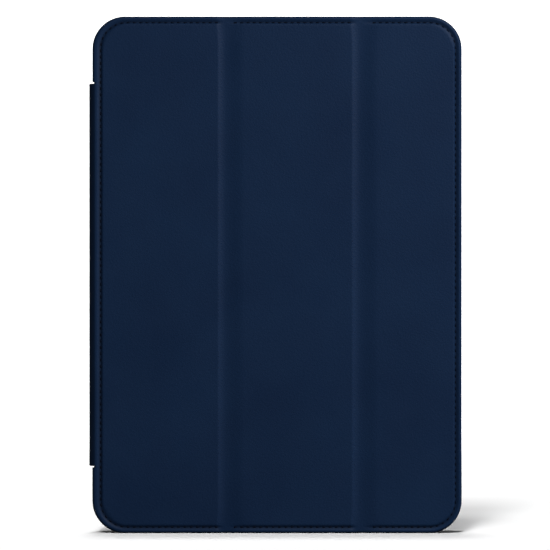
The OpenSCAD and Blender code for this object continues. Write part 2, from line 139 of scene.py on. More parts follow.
def add_lights(floor):
    """Suns that throw the shadows on the floor, and soft boxes that light the object alone."""
    suns = [add_sun("far_shadow", (0.19, 0.98, -1.0), 0.80, 8),
            add_sun("middle_shadow", (0.15, 0.74, -1.0), 0.80, 9),
            add_sun("near_shadow", (0.09, 0.38, -1.0), 0.93, 12),
            add_sun("front_shadow", (0.02, -0.13, -1.0), 1.15, 7)]
    boxes = [add_area("rake", (0.62, -0.16, 0.50), (0, 0, 0.18), (0.12, 0.35), 5.5),
             add_area("key", (0.78, -1.30, 0.98), (0, 0, 0.13), (0.7, 0.7), 34),
             add_area("back", (-0.4, 1.5, 0.9), (0, 0, 0.12), (1.0, 0.8), 30)]
    boxes[0].visible_glossy = False
    aim_lights(suns, floor, "INCLUDE")
    aim_lights(boxes, floor, "EXCLUDE")


def add_world(level, seen=1.05):
    """A white room, as bright as seen to the camera, that lights the object only by level."""
    world = bpy.data.worlds.new("studio")
    world.use_nodes = True
    nodes, links = world.node_tree.nodes, world.node_tree.links
    strength = add_node(nodes, "ShaderNodeMapRange")
    strength.inputs["To Min"].default_value = level
    strength.inputs["To Max"].default_value = seen
    links.new(add_node(nodes, "ShaderNodeLightPath").outputs["Is Camera Ray"], strength.inputs["Value"])
    nodes["Background"].inputs["Color"].default_value = (1, 1, 1, 1)
    links.new(strength.outputs["Result"], nodes["Background"].inputs["Strength"])
    bpy.context.scene.world = world


def add_floor(material, half=4.0, back=2.6, bend=0.8, steps=24, front=-2.6):
    """A pale floor that sweeps up into a backdrop."""
    profile = [(front, 0.0), (back - bend, 0.0)]
    profile += [(back - bend + bend * math.sin(a), bend - bend * math.cos(a))
                for a in (math.pi / 2 * i / steps for i in range(1, steps + 1))]
    profile.append((back, 3.0))
    verts = [(x, y, z) for x in (-half, half) for y, z in profile]
    n = len(profile)
    faces = [(i, i + 1, n + i + 1, n + i)[::-1] for i in range(n - 1)]
    floor = make_mesh("floor", verts, faces, material)
    return floor


# ---------- meshes ----------

def make_mesh(name, verts, faces, material, sharp=40):
    mesh = bpy.data.meshes.new(name)
    mesh.from_pydata([tuple(v) for v in verts], [], faces)
    mesh.validate()
    for polygon in mesh.polygons:
        polygon.use_smooth = True
    mesh.set_sharp_from_angle(angle=math.radians(sharp))
    mesh.materials.append(material)
    piece = bpy.data.objects.new(name, mesh)
    bpy.context.scene.collection.objects.link(piece)
    return piece


def smooth(a, b, x):
    """0 up to a, 1 from b on, with an easy slope between."""
    t = min(max((x - a) / (b - a), 0.0), 1.0)
    return t * t * (3 - 2 * t)


def inside(x, z, outline, r):
    """How far a point is inside a rectangle with round corners."""
    x0, z0, x1, z1 = outline
    qx = abs(x - (x0 + x1) / 2) - ((x1 - x0) / 2 - r)
    qz = abs(z - (z0 + z1) / 2) - ((z1 - z0) / 2 - r)
    return r - math.hypot(max(qx, 0), max(qz, 0)) - min(max(qx, qz), 0)


EDGE_R = 1.5 * MM
GROOVE_DEPTH = 0.62 * MM
GROOVE_HALF = 0.55 * MM
HEM_RISE = 2.1 * MM
HEM_HEIGHT = 0.85
CREASE_DEPTH = 0.60 * MM

# Across a crease, in half widths of the gap between the boards
GAP_START = -1.0
DEEPEST = 0.0
GAP_END = 2.6
DROP = 0.55

# A crease is wider at its two ends by this share, over this stretch from the edge
SPLAY = 0.22
SPLAY_FROM = 3 * MM
SPLAY_TO = 12 * MM


def channel(x, z=None):
    """1 in a crease, 0 on a panel: it drops off the left board and rises gently to the right one."""
    splay = 1
    if z is not None:
        splay += SPLAY * (1 - smooth(SPLAY_FROM, SPLAY_TO, min(z - EDGE[1], EDGE[3] - z)))
    across = [(x - c) / CREASE_HALF / splay for c in CREASES]
    return max(sag(t) for t in across)


def sag(t):
    """How far the leatherette hangs into the gap between two boards, -1 and 1 being their edges."""
    if t < DEEPEST:
        return smooth(0, 1, max((t - GAP_START) / (DEEPEST - GAP_START), 0) ** DROP)
    return 1 - smooth(DEEPEST, GAP_END, t)


def edge_round(d, r=EDGE_R):
    """How far the face falls away at a distance d from the edge."""
    return r - math.sqrt(max(r * r - max(r - d, 0) ** 2, 0))


def face_depth(x, z, creased):
    """How deep the outer face lies at a point, from the foremost plane of the cover."""
    s = inside(x, z, SEAM, SEAM_R)
    fold = channel(x, z) if creased else 0
    if s > 0:
        border = GROOVE_DEPTH * math.exp(-(s / GROOVE_HALF) ** 2)
    else:
        border = GROOVE_DEPTH * (1 - HEM_HEIGHT * smooth(0, HEM_RISE, -s))
    depth = border * (1 - fold) + CREASE_DEPTH * fold
    return depth + edge_round(inside(x, z, EDGE, CORNER_R))


def merged(values, least=0.04 * MM):
    """Sorted, without values that nearly coincide."""
    kept = []
    for v in sorted(values):
        if not kept or v - kept[-1] > least:
            kept.append(v)
    return kept


def spread(a, b, step):
    n = max(1, math.ceil(abs(b - a) / step))
    return [a + (b - a) * i / n for i in range(n + 1)]


FACE_STEP = 4 * MM
SEAM_BAND = (2.2 * MM, 7 * MM)
SEAM_STEP = 0.35 * MM
CREASE_REACH = (1.4, 2.5)
CREASE_STEP = 0.4 * MM


def columns(xa, xb, creased):
    """Where the upright lines of a cover's mesh run: close together at the edges and the creases."""
    turn = [CORNER_R * (1 - math.cos(math.radians(a))) for a in range(0, 91, 3)]
    seam = spread(*SEAM_BAND, SEAM_STEP)
    xs = [EDGE[0] + t for t in turn + seam] + [EDGE[2] - t for t in turn + seam]
    if creased:
        for c in CREASES:
            xs += spread(c - CREASE_REACH[0] * CREASE_HALF, c + CREASE_REACH[1] * CREASE_HALF, CREASE_STEP)
    xs += spread(EDGE[0] + CORNER_R, EDGE[2] - CORNER_R, FACE_STEP) + [FOLD_X]
    return merged([xa, xb] + [x for x in xs if xa < x < xb])


# Heights above a cover's lower edge, in mm, of the rows of its mesh there
END_ROWS = [0, 0.06, 0.2, 0.42, 0.7, 1.05, 1.4, 1.8, 2.1, 2.4, 2.7, 3.0, 3.3, 3.6, 4.0, 4.5, 5.1, 6,
            7.5, 9.5, 12, 14.5, 17]


def rows(x, outline=EDGE, r=CORNER_R):
    """The heights of a column's points: close together at both ends."""
    bend = max(outline[0] + r - x, x - outline[2] + r, 0)
    rise = r - math.sqrt(max(r * r - bend * bend, 0))
    span = END_ROWS[-1] * MM
    ends = [rise + v / END_ROWS[-1] * (span - rise) for v in END_ROWS]
    middle = spread(outline[1] + span, outline[3] - span, FACE_STEP)[1:-1] + list(RELIEF)
    middle = merged(middle, 0.02 * MM)
    return [outline[1] + v for v in ends] + middle + [outline[3] - v for v in reversed(ends)]


def sheet_piece(name, xs, outer, inner, material, keep=None, rows_of=rows, shade_of=None):
    """A closed sheet between two faces, each given as y at (x, z), over columns xs and their rows."""
    grid = [[(x, z) for z in rows_of(x)] for x in xs]
    n = len(grid[0])
    points = [p for column in grid for p in column]
    kept = []
    for i in range(len(xs) - 1):
        for j in range(n - 1):
            quad = (i * n + j, (i + 1) * n + j, (i + 1) * n + j + 1, i * n + j + 1)
            cx = sum(points[k][0] for k in quad) / 4
            cz = sum(points[k][1] for k in quad) / 4
            if keep is None or keep(cx, cz):
                kept.append(quad)
    used = sorted({k for quad in kept for k in quad})
    at = {k: i for i, k in enumerate(used)}
    m = len(used)
    verts = [(points[k][0], outer(*points[k]), points[k][1]) for k in used]
    verts += [(points[k][0], inner(*points[k]), points[k][1]) for k in used]
    flip = outer(*points[used[0]]) > inner(*points[used[0]])
    front = [tuple(at[k] for k in quad) for quad in kept]
    sides = {(q[i], q[(i + 1) % 4]) for q in front for i in range(4)}
    faces = list(front)
    faces += [tuple(m + k for k in reversed(q)) for q in front]
    faces += [(b, a, m + a, m + b) for a, b in sides if (b, a) not in sides]
    if flip:
        faces = [f[::-1] for f in faces]
    piece = make_mesh(name, verts, sorted(faces), material)
    if shade_of:
        store_painted_shade(piece, [shade_of(*points[k]) for k in used] * 2)
    return piece


def store_painted_shade(piece, values):
    """Stores the painted shade at each point: 0 none, 1 darkest."""
    painted_shade = piece.data.attributes.new("painted_shade", "FLOAT", "POINT")
    painted_shade.data.foreach_set("value", values)


# Painted shade in the sewn groove and over the turned edge, stored per point
SEWN_SHADE = 0.63
SEWN_PLACE = -0.1 * MM
SEWN_HALF = 0.75 * MM
TURNED_W = 0.9 * MM


def sewn_at(x, z):
    """The painted shade at the bottom of the sewn groove."""
    return SEWN_SHADE * math.exp(-((inside(x, z, SEAM, SEAM_R) - SEWN_PLACE) / SEWN_HALF) ** 2)


def turned_at(x, z):
    """The painted shade where the leatherette turns over the cover's edge."""
    return 1 - smooth(0, TURNED_W, inside(x, z, EDGE, CORNER_R))


# Painted shade of the back cover: in the sewn groove and at the turned edge
def back_shade_at(x, z):
    return max(sewn_at(x, z), turned_at(x, z))


# Painted shade of the front cover: in the sewn groove, left out in the creases, and at the turned edge
def front_shade_at(x, z):
    return max(sewn_at(x, z) * (1 - channel(x, z)), turned_at(x, z))


def clear_of_spine(x, z):
    return x > FOLD_X or not RELIEF[0] < z < RELIEF[1]


# ---------- materials ----------

def new_material(name):
    material = bpy.data.materials.new(name)
    material.use_nodes = True
    nodes = material.node_tree.nodes
    return material, nodes, material.node_tree.links, nodes["Principled BSDF"]


def add_node(nodes, kind, **inputs):
    node = nodes.new(kind)
    for key, value in inputs.items():
        if key in node.inputs:
            node.inputs[key].default_value = value
        else:
            setattr(node, key, value)
    return node


def mottled(nodes, links, source, shades, scale, detail=3):
    """A colour that drifts between shades over the surface."""
    noise = add_node(nodes, "ShaderNodeTexNoise", Scale=scale, Detail=detail)
    links.new(source, noise.inputs["Vector"])
    ramp = add_node(nodes, "ShaderNodeValToRGB")
    for stop, shade in zip(ramp.color_ramp.elements, shades):
        stop.color = (*shade, 1)
    ramp.color_ramp.elements[0].position = 0.3
    ramp.color_ramp.elements[1].position = 0.7
    links.new(noise.outputs["Fac"], ramp.inputs["Fac"])
    return ramp.outputs["Color"]


def bumps(nodes, links, height, strength, distance, normal=None):
    bump = add_node(nodes, "ShaderNodeBump", Strength=strength, Distance=distance)
    links.new(height, bump.inputs["Height"])
    if normal:
        links.new(normal, bump.inputs["Normal"])
    return bump.outputs["Normal"]


def ranged(nodes, links, value, lo, hi):
    """A 0 to 1 value spread over lo to hi."""
    spread_node = add_node(nodes, "ShaderNodeMapRange")
    spread_node.inputs["To Min"].default_value = lo
    spread_node.inputs["To Max"].default_value = hi
    links.new(value, spread_node.inputs["Value"])
    return spread_node.outputs["Result"]


def leather(name, shades, rough=(0.40, 0.56), grain=0.9 * MM):
    """Leatherette: pebbled grain, fine pores, a gloss that varies, and painted shade in grooves, at edges
    and on the spine.
    """
    material, nodes, links, skin = new_material(name)
    place = add_node(nodes, "ShaderNodeTexCoord").outputs["Object"]
    warp = add_node(nodes, "ShaderNodeTexNoise", Scale=0.5 / grain, Detail=2.0)
    links.new(place, warp.inputs["Vector"])
    cells = add_node(nodes, "ShaderNodeTexVoronoi", Scale=1 / grain, feature="SMOOTH_F1", Smoothness=0.6)
    pull = add_node(nodes, "ShaderNodeVectorMath", operation="MULTIPLY_ADD")
    pull.inputs[1].default_value = (grain * 0.6,) * 3
    links.new(warp.outputs["Color"], pull.inputs[0])
    links.new(place, pull.inputs[2])
    links.new(pull.outputs["Vector"], cells.inputs["Vector"])
    pores = add_node(nodes, "ShaderNodeTexNoise", Scale=3.2 / grain, Detail=4.0)
    links.new(place, pores.inputs["Vector"])
    dye_and_shade = add_node(nodes, "ShaderNodeVectorMath", operation="SCALE")
    links.new(mottled(nodes, links, place, shades, 22), dye_and_shade.inputs[0])
    # The dye is darkened by the painted shade stored per point, down to 0.40 of it.
    painted_shade = add_node(nodes, "ShaderNodeAttribute", attribute_name="painted_shade")
    links.new(ranged(nodes, links, painted_shade.outputs["Fac"], 1.0, 0.40), dye_and_shade.inputs["Scale"])
    links.new(dye_and_shade.outputs["Vector"], skin.inputs["Base Color"])
    drift = add_node(nodes, "ShaderNodeTexNoise", Scale=60.0, Detail=3.0)
    links.new(place, drift.inputs["Vector"])
    links.new(ranged(nodes, links, drift.outputs["Fac"], *rough), skin.inputs["Roughness"])
    normal = bumps(nodes, links, cells.outputs["Distance"], 0.45, 0.10 * MM)
    links.new(bumps(nodes, links, pores.outputs["Fac"], 0.18, 0.05 * MM, normal), skin.inputs["Normal"])
    skin.inputs["Specular IOR Level"].default_value = 0.06
    return material


def microfibre(name, shades):
    """Short brushed pile: no gloss, a soft sheen, and strokes where it was brushed."""
    material, nodes, links, cloth = new_material(name)
    place = add_node(nodes, "ShaderNodeTexCoord").outputs["Object"]
    links.new(mottled(nodes, links, place, shades, 90, 5), cloth.inputs["Base Color"])
    pile = add_node(nodes, "ShaderNodeTexNoise", Scale=2600.0, Detail=3.0)
    links.new(place, pile.inputs["Vector"])
    links.new(bumps(nodes, links, pile.outputs["Fac"], 0.5, 0.06 * MM), cloth.inputs["Normal"])
    cloth.inputs["Roughness"].default_value = 0.95
    cloth.inputs["Specular IOR Level"].default_value = 0.15
    cloth.inputs["Sheen Weight"].default_value = 0.3
    cloth.inputs["Sheen Tint"].default_value = (0.45, 0.58, 0.9, 1)
    cloth.inputs["Sheen Roughness"].default_value = 0.6
    return material


def thread(name, shades):
    """Twisted sewing thread: fine slanting strands."""
    material, nodes, links, yarn = new_material(name)
    place = add_node(nodes, "ShaderNodeTexCoord").outputs["Object"]
    links.new(mottled(nodes, links, place, shades, 700), yarn.inputs["Base Color"])
    strands = add_node(nodes, "ShaderNodeTexWave", Scale=1500.0, Distortion=1.0, bands_direction="DIAGONAL")
    links.new(place, strands.inputs["Vector"])
    links.new(bumps(nodes, links, strands.outputs["Fac"], 0.5, 0.05 * MM), yarn.inputs["Normal"])
    yarn.inputs["Roughness"].default_value = 0.75
    yarn.inputs["Specular IOR Level"].default_value = 0.06
    return material


def plastic(name, shades, rough, texture=0.35 * MM, metallic=0.0, edge=0.25 * MM, depth=0.02 * MM):
    """Moulded plastic or metal: a fine even texture and softened edges."""
    material, nodes, links, surface = new_material(name)
    place = add_node(nodes, "ShaderNodeTexCoord").outputs["Object"]
    links.new(mottled(nodes, links, place, shades, 120), surface.inputs["Base Color"])
    speckle = add_node(nodes, "ShaderNodeTexNoise", Scale=1 / texture, Detail=3.0)
    links.new(place, speckle.inputs["Vector"])
    links.new(ranged(nodes, links, speckle.outputs["Fac"], *rough), surface.inputs["Roughness"])
    soft = add_node(nodes, "ShaderNodeBevel", Radius=edge, samples=4)
    normal = bumps(nodes, links, speckle.outputs["Fac"], 0.4, depth, soft.outputs["Normal"])
    links.new(normal, surface.inputs["Normal"])
    surface.inputs["Metallic"].default_value = metallic
    return material


def board(name):
    material, nodes, links, surface = new_material(name)
    place = add_node(nodes, "ShaderNodeTexCoord").outputs["Object"]
    shades = ((0.20, 0.19, 0.17), (0.32, 0.30, 0.27))
    links.new(mottled(nodes, links, place, shades, 400, 6), surface.inputs["Base Color"])
    surface.inputs["Roughness"].default_value = 0.9
    return material


def floor_paint(name, near=0.35, far=1.1, glow=0.9):
    """White paper that throws little light back, and fades into the white room away from the object."""
    material, nodes, links, surface = new_material(name)
    place = add_node(nodes, "ShaderNodeTexCoord").outputs["Object"]
    sight = add_node(nodes, "ShaderNodeLightPath").outputs["Is Camera Ray"]
    paper = add_node(nodes, "ShaderNodeValToRGB")
    for stop, shade in zip(paper.color_ramp.elements, (0.22, 0.94)):
        stop.color = (shade, shade, shade, 1)
    links.new(sight, paper.inputs["Fac"])
    links.new(paper.outputs["Color"], surface.inputs["Base Color"])
    distance = add_node(nodes, "ShaderNodeVectorMath", operation="LENGTH")
    links.new(place, distance.inputs[0])
    away = add_node(nodes, "ShaderNodeMapRange", interpolation_type="SMOOTHSTEP")
    away.inputs["From Min"].default_value = near
    away.inputs["From Max"].default_value = far
    away.inputs["To Max"].default_value = glow
    links.new(distance.outputs["Value"], away.inputs["Value"])
    surface.inputs["Emission Color"].default_value = (1, 1, 1, 1)
    seen = add_node(nodes, "ShaderNodeMath", operation="MULTIPLY")
    links.new(away.outputs["Result"], seen.inputs[0])
    links.new(sight, seen.inputs[1])
    links.new(seen.outputs["Value"], surface.inputs["Emission Strength"])
    surface.inputs["Roughness"].default_value = 0.9
    surface.inputs["Specular IOR Level"].default_value = 0.1
    return material


NAVY = ((0.0031, 0.0107, 0.0318), (0.0041, 0.0136, 0.0380))
LEATHER = leather("leatherette", NAVY)
THREAD = thread("thread", ((0.0004, 0.0018, 0.0070), (0.0008, 0.0030, 0.0100)))
LINING = microfibre("microfibre", ((0.020, 0.031, 0.055), (0.030, 0.044, 0.074)))
TRAY = plastic("tray_plastic", ((0.0070, 0.0150, 0.0330), (0.0085, 0.0180, 0.0390)), (0.42, 0.52))
SHELL = plastic("keyboard_shell", ((0.018, 0.020, 0.025), (0.022, 0.024, 0.029)), (0.38, 0.5))
KEYCAP = plastic("keycap", ((0.010, 0.011, 0.013), (0.014, 0.015, 0.018)), (0.48, 0.6), edge=0.15 * MM)
SWITCH = plastic("switch_plastic", ((0.045, 0.047, 0.052), (0.055, 0.057, 0.062)), (0.35, 0.45))
FOOT = plastic("foot_rubber", ((0.009, 0.009, 0.010), (0.012, 0.012, 0.013)), (0.7, 0.85))
SILICONE = plastic("silicone", ((0.62, 0.63, 0.64), (0.70, 0.71, 0.72)), (0.5, 0.6))
ACETAL = plastic("link_plastic", ((0.80, 0.80, 0.79), (0.86, 0.86, 0.85)), (0.3, 0.4))
FILM = plastic("film", ((0.016, 0.016, 0.015), (0.021, 0.021, 0.019)), (0.3, 0.4))
LAMINATE = plastic("laminate", ((0.010, 0.09, 0.035), (0.016, 0.12, 0.05)), (0.25, 0.35))
FROST = plastic("light_pipe", ((0.68, 0.76, 0.81), (0.74, 0.82, 0.87)), (0.3, 0.4))
MAGNET = plastic("magnet", ((0.60, 0.60, 0.62), (0.66, 0.66, 0.68)), (0.15, 0.25), metallic=1.0)
STEEL = plastic("steel", ((0.48, 0.48, 0.50), (0.56, 0.56, 0.58)), (0.28, 0.42), metallic=1.0)
FOIL = plastic("cell_foil", ((0.40, 0.41, 0.43), (0.46, 0.47, 0.49)), (0.35, 0.5), metallic=1.0)
INK = plastic("legend_ink", ((0.55, 0.56, 0.58), (0.60, 0.61, 0.63)), (0.5, 0.6))
BOARD = board("stiffener")
SLOT_MATERIAL = {
    "leatherette": LEATHER, "thread": THREAD, "stiffener": BOARD, "microfibre": LINING,
    "tray_plastic": TRAY, "magnet": MAGNET, "steel": STEEL, "keyboard_shell": SHELL, "keycap": KEYCAP,
    "switch_plastic": SWITCH, "film": FILM, "silicone": SILICONE, "link_plastic": ACETAL,
    "cell_foil": FOIL, "laminate": LAMINATE, "foot_rubber": FOOT, "light_pipe": FROST}


def dress_cad_nodes():
    """Every CAD node gets the material of its slot."""
    for part in frame["record"]["subparts"]:
        node = NODES[part["node"]]
        node.data.materials.clear()
        node.data.materials.append(SLOT_MATERIAL[part["material_slot"]])


# ---------- covers ----------

BOARD_IN = 0.5 * MM
BOARD_TURN = 0.4 * MM
LEAST_SKIN = 0.45 * MM
LINING_IN = 1.2 * MM
LINING_TURN = 0.8 * MM
LINING_PRESS = 0.2 * MM
LINING_SAG = 0.55 * MM
PILE_SAG = 0.65 * MM


def front_outer(x, z):
    return FRONT_Y + face_depth(x, z, True)


def over_board(x, z):
    """1 where the leatherette lies on its board, 0 where it is turned over the board's edge."""
    return smooth(0, BOARD_TURN, inside(x, z, SEAM, SEAM_R) - BOARD_IN)


def front_inner(x, z):
    """The leatherette's inner face: thin over the boards, and turned over their edges."""
    thin = max(SKIN_T, face_depth(x, z, True) + LEAST_SKIN)
    return FRONT_Y + RIM_T + (thin - RIM_T) * max(over_board(x, z), channel(x))


def lining_outer(x, z):
    return FRONT_Y + RIM_T - LINING_SAG * channel(x)


def lining_inner(x, z):
    """The lining's free face, whose own edge is pressed down a little."""
    pressed = LINING_PRESS * (1 - smooth(0, LINING_TURN, inside(x, z, EDGE, CORNER_R) - LINING_IN))
    return FRONT_Y + PANEL_T - pressed - PILE_SAG * channel(x)


def clear_of_rim(x, z):
    return inside(x, z, EDGE, CORNER_R) > LINING_IN and clear_of_spine(x, z)


def front_cover():
    """The tri-fold in two lengths that meet in the middle panel, so each crosses one crease."""
    halves = (("left", EDGE[0], MIDDLE_X, 0, "inner_panel", "middle_panel"),
              ("right", MIDDLE_X, EDGE[2], 1, "middle_panel", "outer_panel"))
    crease_of = ("inner_crease", "outer_crease")
    for side, xa, xb, k, a, b in halves:
        xs = columns(xa, xb, True)
        skin = sheet_piece(f"cover_{side}_leatherette", xs, front_outer, front_inner, LEATHER,
                           clear_of_spine, shade_of=front_shade_at)
        lining = sheet_piece(f"cover_{side}_lining", xs, lining_outer, lining_inner, LINING, clear_of_rim)
        for piece, kind in ((skin, "skin"), (lining, "lining")):
            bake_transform(piece)
            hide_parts(f"{a}_{kind}", f"{b}_{kind}")
        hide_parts(crease_of[k])


def back_outer(x, z):
    return BACK_Y - face_depth(x, z, False)


def back_inner(x, z):
    return BACK_Y - RIM_T + (RIM_T - SKIN_T) * over_board(x, z)


def back_cover():
    """The leatherette of the back cover, open at the camera."""
    skin = sheet_piece("back_leatherette", columns(EDGE[0], EDGE[2], False), back_outer, back_inner,
                       LEATHER, clear_of_spine, shade_of=back_shade_at)
    cut_window(skin)
    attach(skin, "back_cover")
    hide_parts("back_skin")


WINDOW_R = 9.2 * MM
WINDOW_HALF = 16.2 * MM
WINDOW_X = EDGE[2] - 22.6 * MM
WINDOW_Z = EDGE[3] - 20.5 * MM


def round_square(cx, cz, half_w, half_h, r, n=10):
    """Points round a rectangle with round corners, anticlockwise."""
    points = []
    for q, (sx, sz) in enumerate(((1, 1), (-1, 1), (-1, -1), (1, -1))):
        for i in range(n + 1):
            a = math.pi / 2 * (q + i / n)
            points.append((cx + sx * (half_w - r) + r * math.cos(a),
                           cz + sz * (half_h - r) + r * math.sin(a)))
    return points


def cut_window(skin, half=WINDOW_HALF, r=WINDOW_R, reach=6 * MM):
    """Opens a sheet for the camera's collar."""
    ring = round_square(WINDOW_X, WINDOW_Z, half, half, r)
    n = len(ring)
    verts = [(x, y, z) for y in (BACK_Y - reach, BACK_Y + reach) for x, z in ring]
    faces = [tuple(range(n)), tuple(reversed(range(n, 2 * n)))]
    faces += [(i, n + i, n + (i + 1) % n, (i + 1) % n) for i in range(n)]
    cutter = make_mesh("cutter", verts, faces, LEATHER)
    cut = skin.modifiers.new("cut", "BOOLEAN")
    cut.operation, cut.solver, cut.object = "DIFFERENCE", "EXACT", cutter
    apply_modifiers(skin)
    bpy.data.objects.remove(cutter)


def apply_modifiers(piece):
    """Keeps the mesh that the modifiers make, and drops them."""
    shown = piece.evaluated_get(bpy.context.evaluated_depsgraph_get())
    mesh = bpy.data.meshes.new_from_object(shown)
    piece.modifiers.clear()
    piece.data = mesh


# ---------- stitching ----------

PITCH = 3.1 * MM
STITCH_LEN = 2.05 * MM
STITCH_HALF_W = 0.38 * MM
STITCH_HALF_H = 0.22 * MM
STITCH_LIFT = 0.16 * MM
STITCH_DIP = 0.34 * MM
STITCH_SLANT = math.radians(7)


def seam_walk():
    """(x, z, angle) at each stitch round the border, starting in the middle of the left side."""
    x0, z0, x1, z1 = SEAM
    r = SEAM_R
    legs = [("line", (x0, (z0 + z1) / 2), (x0, z0 + r)), ("arc", (x0 + r, z0 + r), 180),
            ("line", (x0 + r, z0), (x1 - r, z0)), ("arc", (x1 - r, z0 + r), 270),
            ("line", (x1, z0 + r), (x1, z1 - r)), ("arc", (x1 - r, z1 - r), 0),
            ("line", (x1 - r, z1), (x0 + r, z1)), ("arc", (x0 + r, z1 - r), 90),
            ("line", (x0, z1 - r), (x0, (z0 + z1) / 2))]
    stops, total = [], 0
    for leg in legs:
        length = math.dist(leg[1], leg[2]) if leg[0] == "line" else r * math.pi / 2
        stops.append((total, length, leg))
        total += length
    count = round(total / PITCH)
    for i in range(count):
        at = (i + 0.5) * total / count
        start, length, leg = next(s for s in reversed(stops) if s[0] <= at)
        t = (at - start) / length
        if leg[0] == "line":
            (xa, za), (xb, zb) = leg[1:]
            yield xa + (xb - xa) * t, za + (zb - za) * t, math.atan2(zb - za, xb - xa)
        else:
            a = math.radians(leg[2]) + math.pi / 2 * t
            cx, cz = leg[1]
            yield cx + r * math.cos(a), cz + r * math.sin(a), a + math.pi / 2


def stitch_mesh(stitches, y_at, out):
    """Small plump stitches on a face that looks along out, each dipping into its holes at both ends."""
    verts, faces = [], []
    sides, rings = 8, 7
    for x, z, angle in stitches:
        angle += STITCH_SLANT
        first = len(verts)
        for i in range(rings):
            t = -1 + 2 * i / (rings - 1)
            along = t * STITCH_LEN / 2
            plump = math.sqrt(max(1 - t ** 4, 0.02))
            lift = STITCH_LIFT - STITCH_DIP * t * t
            for k in range(sides):
                b = 2 * math.pi * k / sides
                across = STITCH_HALF_W * plump * math.cos(b)
                up = lift + STITCH_HALF_H * plump * math.sin(b)
                px = x + along * math.cos(angle) - across * math.sin(angle)
                pz = z + along * math.sin(angle) + across * math.cos(angle)
                verts.append((px, y_at(x, z) + out * up, pz))
        for i in range(rings - 1):
            for k in range(sides):
                a, b = first + i * sides + k, first + i * sides + (k + 1) % sides
                faces.append((a, b, b + sides, a + sides)[::-out])
        faces.append(tuple(first + k for k in reversed(range(sides)))[::-out])
        faces.append(tuple(first + (rings - 1) * sides + k for k in range(sides))[::-out])
    return verts, faces


def stitching():
    """The thread of the border: one piece on each panel of the front cover and one on the back."""
    walk = list(seam_walk())
    margin = CREASE_HALF + 0.6 * MM
    spans = (("inner_panel", EDGE[0], CREASES[0] - margin),
             ("middle_panel", CREASES[0] + margin, CREASES[1] - margin),
             ("outer_panel", CREASES[1] + margin, EDGE[2]))
    for body, xa, xb in spans:
        some = [s for s in walk if xa <= s[0] <= xb]
        verts, faces = stitch_mesh(some, front_outer, -1)
        piece = make_mesh(f"{body}_thread", verts, faces, THREAD)
        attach(piece, body)
        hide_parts(f"{body}_stitching")
    verts, faces = stitch_mesh(walk, back_outer, 1)
    piece = make_mesh("back_thread", verts, faces, THREAD)
    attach(piece, "back_cover")
    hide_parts("back_stitching")


# ---------- spine ----------

SPINE_R = -FRONT_Y - SPINE_FLAT
# Painted shade over the whole spine, which faces away from the light
SPINE_SHADE = 0.4
SPINE_BOARD_T = 0.9 * MM
SPINE_END_R = 0.5 * MM
FOLD_SLOPE = 1.6    # 1 gives a round fold, 2 a straight slope between two sharp turns
LINING_FOLD_R = 1.1 * MM
LINING_LAP = 0.6 * MM


def fold_line(inset):
    """The spine's section from its middle round the front fold to the cover's edge, inset from outside."""
    points = [(SPINE_X + inset, -SPINE_FLAT * t) for t in (0, 0.25, 0.5, 0.7, 0.82, 0.9, 0.96)]
    cx, cy, r = SPINE_X + SPINE_R, -SPINE_FLAT, SPINE_R - inset
    points += [(cx - r * math.cos(a) ** FOLD_SLOPE, cy - r * math.sin(a) ** FOLD_SLOPE)
               for a in (math.pi / 2 * i / 16 for i in range(17))]
    points.append((FOLD_X, FRONT_Y + inset))
    return points


def spine_half(name, front, other, outer, inner, material, replaced):
    """A layer of half of the spine, with the fold that joins it to one cover."""
    flip = 1 if front else -1
    ring = outer + inner[::-1]
    zs = [SPINE_Z[0] + v * MM for v in (0, 0.15, 0.5, 1)]
    zs += spread(SPINE_Z[0] + 5 * MM, SPINE_Z[1] - 5 * MM, 6 * MM)
    zs += [SPINE_Z[1] - v * MM for v in (1, 0.5, 0.15, 0)]
    middle = [((a[0] + b[0]) / 2, (a[1] + b[1]) / 2) for a, b in zip(ring, ring[::-1])]
    n = len(ring)
    verts = []
    for z in zs:
        d = min(z - SPINE_Z[0], SPINE_Z[1] - z)
        full = 0.35 + 0.65 * math.sqrt(1 - (1 - min(d / SPINE_END_R, 1)) ** 2)
        verts += [(mx + (x - mx) * full, flip * (my + (y - my) * full), z)
                  for (x, y), (mx, my) in zip(ring, middle)]
    faces = [(j * n + i, j * n + (i + 1) % n, (j + 1) * n + (i + 1) % n, (j + 1) * n + i)
             for j in range(len(zs) - 1) for i in range(n)]
    half = len(outer)
    last = (len(zs) - 1) * n
    for i in range(half - 1):
        quad = (i, i + 1, n - 2 - i, n - 1 - i)
        faces.append(quad[::-1])
        faces.append(tuple(last + k for k in quad))
    if not front:
        faces = [f[::-1] for f in faces]
    piece = make_mesh(name, verts, faces, material)
    # The whole spine is darkened by painted shade.
    store_painted_shade(piece, [SPINE_SHADE] * len(verts))
    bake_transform(piece)
    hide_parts(*replaced)


def spine():
    """Its leatherette and its lining, each in a front and a back half."""
    for end, front, other in (("front", True, "inner_panel"), ("back", False, "back_cover")):
        spine_half(f"spine_{end}_leatherette", front, other, fold_line(0), fold_line(SKIN_T), LEATHER,
                   ("spine_skin", f"spine_{end}_crease"))
        spine_half(f"spine_{end}_lining", front, other, lining_line(0), lining_line(LINING_T), LINING,
                   ("spine_lining",))


def lining_line(inset):
    """The section of the lining inside the fold, from the spine's middle to the cover's lining."""
    x0, y0 = SPINE_X + SKIN_T + SPINE_BOARD_T + inset, FRONT_Y + RIM_T + inset
    r = LINING_FOLD_R - inset
    cx, cy = x0 + r, y0 + r
    points = [(x0, (cy - 0.2 * MM) * t) for t in (0, 0.3, 0.6, 0.85)]
    points += [(cx - r * math.cos(a), cy - r * math.sin(a))
               for a in (math.pi / 2 * i / 6 for i in range(7))]
    points.append((FOLD_X + LINING_LAP, y0))
    return points


# ---------- tray ----------

TRAY_R = 14.3 * MM


